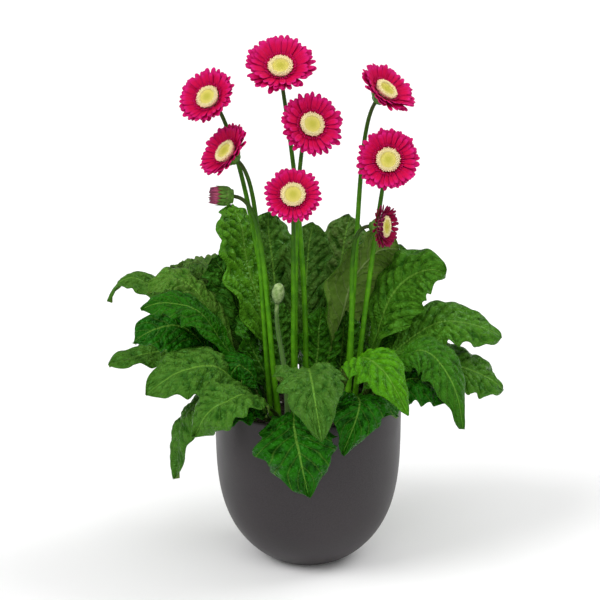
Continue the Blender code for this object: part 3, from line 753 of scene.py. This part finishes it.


# %% [markdown]
# Veins are paler than the blade, the midrib most of all, and a young leaf is yellower than an old
# one. Grooves are painted darker as painted shade, crests paler as painted light, and the fine vein
# net darker as painted shade in its grooves. The upper face is glossy, with dust on it and a painted
# sheen laid thickest on its crests, and the underside is dull and olive. Both faces share the veins,
# so those are a node group.

# %% Leaf finishes
# where each kind of vein starts to fade and ends, per half width, per gap and per cell
MIDRIB_FADE = (0.012, 0.045)
SIDE_VEIN_FADE = (0.01, 0.12)
NET_FADE = (0.0, 0.16)


def vein_group():
    """Masks for the veins, from the sheet's UV map, and a height for the blisters between them."""
    made = Group("leaf veins", {"Scale": 200.0}, ("Midrib", "Side Veins", "Net", "Blisters"))
    across, along = made.sheet_place()
    t = made.math("ABSOLUTE", made.math("MULTIPLY_ADD", across, 2.0, -1.0))
    b = made.math("DIVIDE", made.math("SUBTRACT", along, BARE_SHARE), 1 - BARE_SHARE)
    start = made.math("SUBTRACT", b, made.math("MULTIPLY", t, VEIN_SLANT))
    phase = made.math("FRACT", made.math("MULTIPLY_ADD", start, float(SIDE_VEINS), 0.5))
    gap = made.math("ABSOLUTE", made.math("SUBTRACT", phase, 0.5))
    cells = made.texture("ShaderNodeTexVoronoi", feature="DISTANCE_TO_EDGE").outputs["Distance"]
    made.put(made.span(t, *MIDRIB_FADE, 1.0, 0.0), made.results["Midrib"])
    made.put(made.span(gap, *SIDE_VEIN_FADE, 1.0, 0.0), made.results["Side Veins"])
    made.put(made.span(cells, *NET_FADE, 1.0, 0.0), made.results["Net"])
    made.put(made.span(cells, 0.0, 0.5), made.results["Blisters"])
    return made.tree


VEINS = vein_group()


def leaf_face():
    made = Finish("leaf face", 0.34, Specular_IOR_Level=0.26, Specular_Tint=(0.28, 0.9, 0.22, 1.0))
    midrib, side, net, blisters = made.node("ShaderNodeGroup", node_tree=VEINS).outputs
    swell = made.attribute("swell")
    youth = made.attribute("youth")
    wide, grain = made.blotches(26.0)
    # Grooves get a darker green as painted shade and crests a paler one as painted light, by the swell.
    painted_groove_shade = made.mix(youth, (0.003, 0.034, 0.001), (0.026, 0.118, 0.002))
    painted_crest_light = made.mix(youth, (0.011, 0.114, 0.001), (0.086, 0.3, 0.004))
    blade = made.mix(made.span(swell, -1.0, 0.9), painted_groove_shade, painted_crest_light)
    blade = made.wash(wide, 0.35, blade, made.mix(0.6, blade, (0.01, 0.08, 0.002)))
    # Dust greys the whole face, and the grey is laid thickest on the crests as a painted sheen.
    crest_dust_and_sheen = made.math("MULTIPLY", made.attribute("dust"), made.span(swell, -0.9, 0.9, 0.15, 0.95))
    blade = made.mix(crest_dust_and_sheen, blade, (0.104, 0.148, 0.038))
    # The fine vein net is painted darker here, as painted shade in the grooves between the blisters.
    blade = made.wash(net, 0.16, blade, (0.004, 0.032, 0.001))
    blade = made.wash(side, 0.34, blade, (0.105, 0.25, 0.024))
    made.colour(made.wash(midrib, 0.6, blade, (0.15, 0.32, 0.038)))
    made.roughness(wide, 0.26, 0.38)
    relief = made.math("ADD", blisters, made.math("MULTIPLY", side, -0.5))
    made.bump(made.math("ADD", relief, made.math("MULTIPLY", grain, 0.3)), 0.0012)
    return made.material


def leaf_back():
    made = Finish("leaf underside", 0.62, Specular_IOR_Level=0.12)
    midrib, side, net, blisters = made.node("ShaderNodeGroup", node_tree=VEINS).outputs
    wide, grain = made.blotches(60.0)
    blade = made.mix(made.attribute("youth"), (0.1, 0.205, 0.022), (0.15, 0.3, 0.03))
    blade = made.wash(wide, 0.35, blade, (0.11, 0.17, 0.038))
    blade = made.wash(net, 0.2, blade, (0.16, 0.235, 0.065))
    blade = made.wash(side, 0.5, blade, (0.215, 0.31, 0.09))
    made.colour(made.wash(midrib, 0.9, blade, (0.32, 0.45, 0.15)))
    relief = made.math("SUBTRACT", side, made.math("MULTIPLY", blisters, 0.8))
    made.bump(made.math("ADD", relief, made.math("MULTIPLY", grain, 0.3)), 0.0007)
    return made.material


LEAF_FINISHES = [leaf_face(), leaf_back()]

# %% Make the leaves
def make_leaf(leaf, node=None):
    bm = bmesh.new()
    swell, youth, dust = [bm.verts.layers.float.new(name) for name in ("swell", "youth", "dust")]
    spots = add_sheet(bm, LEAF_COLUMNS, LEAF_ROWS, lambda t, v, under: leaf_point(leaf, t, v, under), 1)
    for vert, (t, v) in spots.items():
        vert[swell] = leaf_swell(leaf, t, v)
        vert[youth] = leaf.youth
        vert[dust] = leaf.dust
    finish_piece(f"fine_{node or leaf.name}", bm, LEAF_FINISHES, node)


for leaf in LEAVES:
    make_leaf(leaf, f"leaf_{leaf.name}")
for leaf in CROWN_LEAVES:
    make_leaf(leaf)

# %% [markdown]
# A flower stalk is a ribbed tube covered in short hairs. Under the head it swells into a green cup
# of pointed scales that overlap like tiles. The stalk's curve is the solid's, and the scales are
# small sheets laid over the cup in three rows.

# %% Stalk curve
STALK_SIDES = 14
STALK_STEPS = 46
STALK_FOOT_RADIUS = 0.0028
STALK_NECK_RADIUS = 0.0018
STALK_RIDGES = 7
STALK_RIDGE_DEPTH = 0.06
NECK_REACH = 0.035
CUP_DEPTH = 0.011
CUP_RADIUS = 0.0105
CUP_SHAPE = ((-0.84, 0.52), (-0.7, 0.72), (-0.55, 0.86), (-0.28, 0.96), (0.0, 1.0))
USUAL_HEAD_RADIUS = 0.03
HAIRS_PER_STALK = 420
HAIR_LENGTH = 0.001
HAIR_RADIUS = 0.00008

# all in millimetres but the way the head faces, and its bowl, which is in degrees
Head = namedtuple("Head", "base bow centre radius disc_radius facing dish")
HEADS = [
    Head(*(metres(value) for value in row[:5]), *row[5:])
    for row in (
        ((-3, 11), (2, 17, 330), (-27, 6, 499), 35.8, 13, (-0.03, -0.74, 0.67), 28),
        ((-13, 3), (-15, 3, 320), (2, -9, 446), 32.8, 13, (0.28, -0.88, 0.44), 24),
        ((-15, -8), (-15, -6, 260), (-15, -27, 380), 28.8, 12.5, (0.0, -0.87, 0.5), 20),
        ((-32, 6), (-44, 8, 330), (-96, 6, 470), 31.6, 12, (-0.4, -0.74, 0.54), 30),
        ((-38, -4), (-50, -2, 320), (-78, -4, 418), 31.7, 12, (-0.64, -0.5, 0.58), 32),
        ((38, 11), (52, 12, 350), (73, 8, 476), 32.4, 12, (0.53, -0.47, 0.7), 30),
        ((46, 2), (60, 2, 300), (77, -14, 413), 31.5, 12, (0.0, -0.95, 0.31), 22),
        ((38, -8), (52, -6, 270), (71, -10, 347), 23.5, 11, (0.88, -0.47, 0.08), 26),
    )
]


# the last three are the cup's own depth, radius and shape
Stem = namedtuple("Stem", "base bow centre facing depth radius shape")


def stalk_stops(stem):
    """Stops from the foot in the mix, up the stalk and round the cup to its rim."""
    facing = Vector(stem.facing).normalized()
    centre = Vector(stem.centre)
    neck = centre - facing * stem.depth
    start = Vector((*stem.base, MIX_TOP + SHANK))
    a, b, c, d = start, Vector(stem.bow), neck - facing * NECK_REACH, neck
    upright = Vector((0, 0, 1))
    stops = [(start - upright * (SHANK + ROOT_DEPTH), upright, STALK_FOOT_RADIUS)]
    for i in range(STALK_STEPS + 1):
        s = i / STALK_STEPS
        r = 1 - s
        point = r**3 * a + 3 * r**2 * s * b + 3 * r * s**2 * c + s**3 * d
        tangent = (r**2 * (b - a) + 2 * r * s * (c - b) + s**2 * (d - c)).normalized()
        radius = blend(STALK_FOOT_RADIUS, STALK_NECK_RADIUS, s)
        stops.append((point, tangent if i else upright, radius))
    for height, share in stem.shape:
        stops.append((centre + facing * stem.depth * height, facing, stem.radius * share))
    return stops


def add_hairs(bm, stops, count, rng, length=HAIR_LENGTH):
    frames = carried_frames(stops)
    for _ in range(count):
        at = rng.uniform(2, len(frames) - 2)
        i, share = int(at), at % 1
        low, high = frames[i], frames[i + 1]
        angle = rng.uniform(0, 2 * math.pi)
        out = low[1] * math.cos(angle) + low[2] * math.sin(angle)
        foot = low[0].lerp(high[0], share) + out * blend(low[3], high[3], share) * 0.98
        stray = Vector((rng.uniform(-0.3, 0.3), rng.uniform(-0.3, 0.3), rng.uniform(-0.2, 0.5)))
        lean = (out + stray).normalized()
        long = length * rng.uniform(0.6, 1.2)
        bmesh.ops.create_cone(
            bm, segments=3, radius1=HAIR_RADIUS, radius2=0.0, depth=long, cap_ends=True,
            matrix=stand(foot + lean * long / 2, lean),
        )


# %% Stalk finishes
def stalk_green():
    """Bright green low down, deeper half way up and brownish towards the head."""
    made = Finish("stalk green", 0.45, Specular_IOR_Level=0.14)
    _, along = made.sheet_place()
    mask, height = made.blotches(120.0)
    low = made.mix(mask, (0.05, 0.2, 0.003), (0.095, 0.315, 0.005))
    middle = made.mix(mask, (0.022, 0.09, 0.002), (0.045, 0.14, 0.004))
    green = made.mix(made.span(along, 0.3, 0.62), low, middle)
    made.colour(made.mix(made.span(along, 0.6, 0.9, 0.0, 0.9), green, (0.034, 0.036, 0.012)))
    made.roughness(mask, 0.42, 0.58)
    made.bump(height, 0.0003)
    return made.material


def scale_green():
    made = Finish("scale green", 0.55, Specular_IOR_Level=0.2)
    _, along = made.sheet_place()
    mask, height = made.blotches(260.0)
    green = made.mix(mask, (0.045, 0.125, 0.01), (0.095, 0.22, 0.026))
    made.colour(made.mix(made.span(along, 0.6, 1.0, 0.0, 0.75), green, (0.12, 0.07, 0.045)))
    made.bump(height, 0.0003)
    return made.material


STALK_FINISHES = [stalk_green(), scale_green()]

# %% Make the stalks with their cups
SCALE_ROWS = ((15, 0.0, -1.0, 0.66), (15, 0.5, -0.74, 0.7), (17, 0.0, -0.5, 0.66))
SCALE_LIFT = 0.00035
SCALE_THICKNESS = 0.0003
SCALE_OVERLAP = 1.3          # width of a scale, per its share of the cup's girth


def cup_side(height, shape):
    """The cup's radius at a height per cup depth, as a share of its widest."""
    for (low, low_share), (high, high_share) in zip(shape, shape[1:]):
        if height <= high:
            return blend(low_share, high_share, max((height - low) / (high - low), 0.0))
    return shape[-1][1]


def add_scales(bm, stem, rows):
    """Pointed scales over the cup, in rows of (count, turn, lowest height, length) per cup depth."""
    turned = stand(stem.centre, stem.facing)
    for row, (count, turn, low, length) in enumerate(rows):
        for i in range(count):
            angle = 2 * math.pi * (i + turn) / count
            half = SCALE_OVERLAP * math.pi * stem.radius / count

            def place(across, along, under):
                height = low + length * along
                lift = SCALE_LIFT * (1 + row * 0.5 + along) - SCALE_THICKNESS * under
                out = stem.radius * cup_side(height, stem.shape) + lift
                wide = half * (1 - along) ** 0.6 * (0.55 + 0.45 * min(along * 3, 1.0))
                spin = angle + across * max(wide, 0.0001) / out
                return turned @ around(out, spin, stem.depth * height)

            made = add_sheet(bm, 2, 5, place)
            for face in faces_of(made):
                face.material_index = 1


def make_stalk(name, stem, rows, seed, node):
    stops = stalk_stops(stem)
    bm = bmesh.new()
    add_tube(bm, STALK_SIDES, stops, STALK_RIDGE_DEPTH, STALK_RIDGES)
    add_scales(bm, stem, rows)
    add_hairs(bm, stops, HAIRS_PER_STALK, random.Random(seed))
    finish_piece(name, bm, STALK_FINISHES, node)


for number, head in enumerate(HEADS, 1):
    cup = CUP_RADIUS * head.radius / USUAL_HEAD_RADIUS
    stem = Stem(head.base, head.bow, head.centre, head.facing, CUP_DEPTH, cup, CUP_SHAPE)
    make_stalk(f"fine_stalk_{number}", stem, SCALE_ROWS, 40 + number, f"stalk_{number}")

# %% [markdown]
# What looks like one gerbera flower is hundreds. The long petals are each one flower, in two or
# three layers, then comes a ring of short ones, and the middle is packed with tiny tubes. Each layer
# is a ring of sheets with small seeded differences in length, width and lift.

# %% Petal form
PETAL_ROOT_RADIUS = 0.0112
PETAL_THICKNESS = 0.0004
PETAL_COLUMNS = 4
PETAL_ROWS = 7
PETAL_ROW_CROWDING = 1.6     # puts more rows near the tip, which is round
PETAL_CHANNEL = 0.12         # how far the edges stand above the middle, per half width
PETAL_DROOP = 0.002
PETAL_ROOT_WIDTH = 0.42      # per full width, which a petal has from its widest place on
PETAL_WIDEST = 0.6
PETAL_TIP = 0.76             # where the round tip starts, per length
# petals, length share, height of the root, extra rise in degrees, fullness
PETAL_LAYERS = (
    (29, 1.03, 0.0006, -4, 1.1), (29, 0.98, 0.0013, 1, 1.08), (28, 0.88, 0.002, 6, 1.05),
)
CREST = (46, 0.3, 0.003, 24, 0.55)
# The head at the right has only begun to open: its petals are short, steep and dark
OPENING_LAYERS = (
    (24, 0.92, 0.0008, -8, 0.8), (24, 1.00, 0.0014, 10, 0.76), (22, 1.05, 0.0022, 24, 0.72),
    (20, 0.9, 0.0026, 38, 0.7),
)
OPENING_HEAD = 8


def add_petals(bm, rng, head, count, share, height, rise, fullness):
    """One ring of petals round the head's own +Z."""
    length = (head.radius - PETAL_ROOT_RADIUS) * share
    pitch = 2 * math.pi / count
    usual_half = 0.5 * pitch * (PETAL_ROOT_RADIUS + 0.6 * length) * fullness
    turn = rng.random()
    for i in range(count):
        turned = Matrix.Rotation((i + turn + rng.uniform(-0.16, 0.16)) * pitch, 3, "Z")
        reach = length * rng.uniform(0.88, 1.05)
        half = usual_half * rng.uniform(0.82, 1.08)
        lift = math.radians(head.dish + rise + rng.uniform(-6, 6))
        twist = rng.uniform(-0.28, 0.28)
        curl = PETAL_DROOP * rng.uniform(0.2, 1.2)

        def place(across, along, under):
            along = 1 - (1 - along) ** PETAL_ROW_CROWDING
            tip = max((along - PETAL_TIP) / (1 - PETAL_TIP), 0.0)
            wide = half * blend(PETAL_ROOT_WIDTH, 1, min(along / PETAL_WIDEST, 1.0))
            wide *= max(math.sqrt(1 - min(tip, 1.0) ** 2.2), 0.14)
            out = PETAL_ROOT_RADIUS + reach * along * math.cos(lift)
            side = across * wide
            up = height + reach * along * math.sin(lift) - curl * along**3
            up += PETAL_CHANNEL * wide * across * across + twist * side - PETAL_THICKNESS * under
            return turned @ Vector((out, side, up))

        add_sheet(bm, PETAL_COLUMNS, PETAL_ROWS, place, 1)


# %% Petal finishes
def petal_finish(name, root, body, tip, end, roughness):
    """A petal's colour from its root to its body, its tip and the last millimetre."""
    made = Finish(name, roughness, Specular_IOR_Level=0.08)
    across, along = made.sheet_place()
    mask, _ = made.blotches(160.0)
    lines = made.node("ShaderNodeTexWave", bands_direction="X")
    lines.inputs["Scale"].default_value = 2.6
    lines.inputs["Distortion"].default_value = 0.6
    made.put(made.sheet_map(), lines.inputs["Vector"])
    shade = made.mix(made.span(along, 0.0, 0.45), root, body)
    shade = made.mix(made.span(along, 0.45, 0.85), shade, tip)
    shade = made.mix(made.span(along, 0.9, 1.0, 0.0, 0.85), shade, end)
    edge = made.span(made.math("ABSOLUTE", made.math("SUBTRACT", across, 0.5)), 0.3, 0.5, 0.0, 0.45)
    shade = made.mix(edge, shade, tip)
    made.colour(made.wash(mask, 0.3, shade, root))
    made.bump(lines.outputs["Fac"], 0.00018, 0.7)
    return made.material


PETAL_FINISHES = [
    petal_finish(
        "petal face", (0.42, 0.0, 0.03), (0.57, 0.0, 0.062), (0.66, 0.01, 0.19), (0.24, 0.004, 0.09), 0.55,
    ),
    petal_finish(
        "petal back", (0.3, 0.03, 0.07), (0.46, 0.02, 0.11), (0.56, 0.06, 0.22), (0.22, 0.01, 0.09), 0.6,
    ),
]
OPENING_FINISHES = [
    petal_finish(
        "opening petal face", (0.2, 0.0, 0.018), (0.32, 0.001, 0.045), (0.26, 0.006, 0.075),
        (0.06, 0.004, 0.032), 0.55,
    ),
    petal_finish(
        "opening petal back", (0.38, 0.04, 0.11), (0.33, 0.03, 0.12), (0.19, 0.016, 0.085),
        (0.045, 0.008, 0.03), 0.6,
    ),
]

# %% [markdown]
# The disc is a low dome. Its tiny flowers open from the rim inwards, so the rim is pale and pinkish
# and the middle tight and yellow-green. Like seeds, they are spaced by the golden angle: each next
# one turns by about 137.5 degrees and steps a little outwards.

# %% Disc form and finish
GOLDEN_ANGLE = math.pi * (3 - math.sqrt(5))
FLORETS = 210
DISC_FLOOR = 0.0036
DISC_RISE = 0.26             # of the dome, per disc radius
DISC_SHARE = 0.93            # of the solid's radius, as the florets lean out past it
WIDEST_DISC = 0.0124
DISC_SKIRT = 0.0022          # how far the underside lies below the floor
DISC_RINGS = 6
DISC_STEPS = 32
OPEN_SHARE = 0.66            # florets beyond this share of the radius are open
# half width and height per disc radius, and the mouth per half width
OPEN_FLORET = (0.055, 0.22, 1.15)
CLOSED_FLORET = (0.044, 0.11, 0.55)
FLORET_LEAN = 0.6            # of the outermost, sideways per upwards


def dome(share, radius):
    return DISC_FLOOR + radius * DISC_RISE * math.sqrt(max(1 - 0.85 * share * share, 0.0))


def floret_finish():
    made = Finish("florets", 0.62, Specular_IOR_Level=0.2)
    ripe = made.attribute("ripeness")
    mask, height = made.blotches(900.0)
    shade = made.mix(made.span(ripe, 0.1, 0.6), (0.57, 0.545, 0.075), (0.76, 0.69, 0.19))
    shade = made.mix(made.span(ripe, 0.62, 0.74), shade, (0.93, 0.83, 0.48))
    shade = made.mix(made.span(ripe, 0.9, 1.0), shade, (0.9, 0.48, 0.42))
    made.colour(made.wash(mask, 0.22, shade, (0.52, 0.44, 0.06)))
    made.bump(height, 0.0002)
    return made.material


FLORET = floret_finish()


def make_head(number, head):
    rng = random.Random(number)
    turned = stand(head.centre, head.facing)
    opening = number == OPENING_HEAD
    bm = bmesh.new()
    for layer in OPENING_LAYERS if opening else PETAL_LAYERS:
        add_petals(bm, rng, head, *layer)
    add_petals(bm, rng, head, *CREST)
    bm.transform(turned)
    finishes = OPENING_FINISHES if opening else PETAL_FINISHES
    finish_piece(f"fine_rays_{number}", bm, finishes, f"rays_{number}")

    bm = bmesh.new()
    ripeness = bm.verts.layers.float.new("ripeness")
    radius = min(head.disc_radius, WIDEST_DISC) * DISC_SHARE
    profile = [(0.0, DISC_FLOOR - DISC_SKIRT), (radius * 0.9, DISC_FLOOR - DISC_SKIRT)]
    for i in range(DISC_RINGS + 1):
        share = 0.97 * (1 - i / DISC_RINGS)
        profile.append((radius * share, dome(share, radius)))
    spin_profile(bm, profile, DISC_STEPS)
    for vert in bm.verts:
        vert[ripeness] = Vector(vert.co[:2]).length / radius
    for i in range(FLORETS):
        share = math.sqrt((i + 0.5) / FLORETS)
        angle = i * GOLDEN_ANGLE
        width, height, mouth = OPEN_FLORET if share > OPEN_SHARE else CLOSED_FLORET
        size = radius * width * rng.uniform(0.85, 1.15)
        tall = radius * height * rng.uniform(0.8, 1.2)
        lean = around(share * FLORET_LEAN, angle, 1.0).normalized()
        foot = around(share * radius * 0.98, angle, dome(share, radius))
        grown = bmesh.ops.create_cone(
            bm, segments=5, radius1=size * 0.7, radius2=size * mouth, depth=tall,
            cap_ends=True, matrix=stand(foot + lean * tall * 0.4, lean),
        )
        for vert in grown["verts"]:
            vert[ripeness] = share
    bm.transform(turned)
    finish_piece(f"fine_disc_{number}", bm, [FLORET], f"disc_{number}")


for number, head in enumerate(HEADS, 1):
    make_head(number, head)

# %% [markdown]
# Two heads haven't opened. The bud at the left is a tight brush of petals that just shows above its
# cup. The young one, low among the leaves, is a knob of woolly green on a short stem.

# %% The closed bud
BUD = Stem(
    base=(-0.03, -0.011), bow=(-0.046, -0.009, 0.29), centre=(-0.088, -0.006, 0.377),
    facing=(-0.97, -0.2, 0.08), depth=0.014, radius=0.0092,
    shape=((-0.88, 0.72), (-0.74, 0.9), (-0.6, 1.0), (-0.3, 1.0), (0.0, 0.96)),
)
BUD_SCALE_ROWS = ((13, 0.0, -1.0, 0.62), (13, 0.5, -0.72, 0.72), (15, 0.0, -0.44, 0.66))
BUD_PETAL_LENGTH = 0.0112
BUD_PETAL_SINK = 0.0012      # how far below the cup's rim the petals start
# petals, radius share and length share of each ring
BUD_PETAL_RINGS = ((20, 0.97, 0.95), (16, 0.72, 1.00), (11, 0.46, 0.94), (6, 0.2, 0.9))
BUD_FINISHES = [
    petal_finish(
        "bud petal", (0.2, 0.08, 0.03), (0.4, 0.07, 0.15), (0.3, 0.05, 0.13), (0.055, 0.012, 0.04), 0.6,
    )
]


def make_bud_petals():
    rng = random.Random(61)
    bm = bmesh.new()
    for count, spread, length in BUD_PETAL_RINGS:
        for i in range(count):
            angle = 2 * math.pi * (i + rng.uniform(-0.2, 0.2)) / count
            reach = BUD_PETAL_LENGTH * length * rng.uniform(0.85, 1.0)
            half = 1.1 * math.pi * BUD.radius * spread / count

            def place(across, along, under):
                out = BUD.radius * spread * (1 - 0.14 * along**2) - PETAL_THICKNESS * under
                wide = half * (1 - 0.75 * max(along - 0.55, 0.0) / 0.45)
                spin = angle + across * wide / max(out, 0.001)
                return around(out, spin, reach * along - BUD_PETAL_SINK)

            add_sheet(bm, 2, 5, place)
    bm.transform(stand(BUD.centre, BUD.facing))
    finish_piece("fine_bud_petals", bm, BUD_FINISHES, "bud_petals")


make_stalk("fine_bud_stalk", BUD, BUD_SCALE_ROWS, 60, "stalk_bud")
make_bud_petals()

# %% The young bud
YOUNG_BUD = Stem(
    base=(-0.021, -0.017), bow=(-0.021, -0.017, 0.22), centre=(-0.029, -0.014, 0.29),
    facing=(0.1, -0.2, 1.0), depth=0.022, radius=0.0062,
    shape=((-0.91, 0.45), (-0.8, 0.72), (-0.68, 0.9), (-0.52, 0.99), (-0.36, 1.0), (-0.2, 0.88),
           (-0.09, 0.7), (0.0, 0.3)),
)
YOUNG_HAIRS = 900
YOUNG_HAIR_LENGTH = 0.0016


def woolly_green():
    made = Finish("woolly green", 0.8, Sheen_Weight=0.2)
    _, along = made.sheet_place()
    mask, height = made.blotches(300.0)
    wool = made.mix(mask, (0.15, 0.27, 0.05), (0.38, 0.5, 0.21))
    made.colour(made.mix(made.span(along, 0.72, 0.88), (0.06, 0.15, 0.014), wool))
    made.bump(height, 0.0005)
    return made.material


def make_young_bud():
    rng = random.Random(70)
    stops = stalk_stops(YOUNG_BUD)
    bm = bmesh.new()
    add_tube(bm, STALK_SIDES, stops)
    add_hairs(bm, stops, YOUNG_HAIRS // 3, rng, YOUNG_HAIR_LENGTH)
    add_hairs(bm, stops[-len(YOUNG_BUD.shape) - 3:], YOUNG_HAIRS, rng, YOUNG_HAIR_LENGTH)
    finish_piece("fine_young_bud", bm, [woolly_green()], "young_bud")


make_young_bud()

# %% [markdown]
# Last, the box is measured again, to show how far the finer pieces reach past the frame's box.

# %% Sizes, measured again
SIZE_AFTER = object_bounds()
grown = [round((SIZE_AFTER[k][a] - SIZE_BEFORE[k][a]) * 1000, 1) for k in (0, 1) for a in range(3)]
print("millimetres from the frame's box, low then high:", grown)
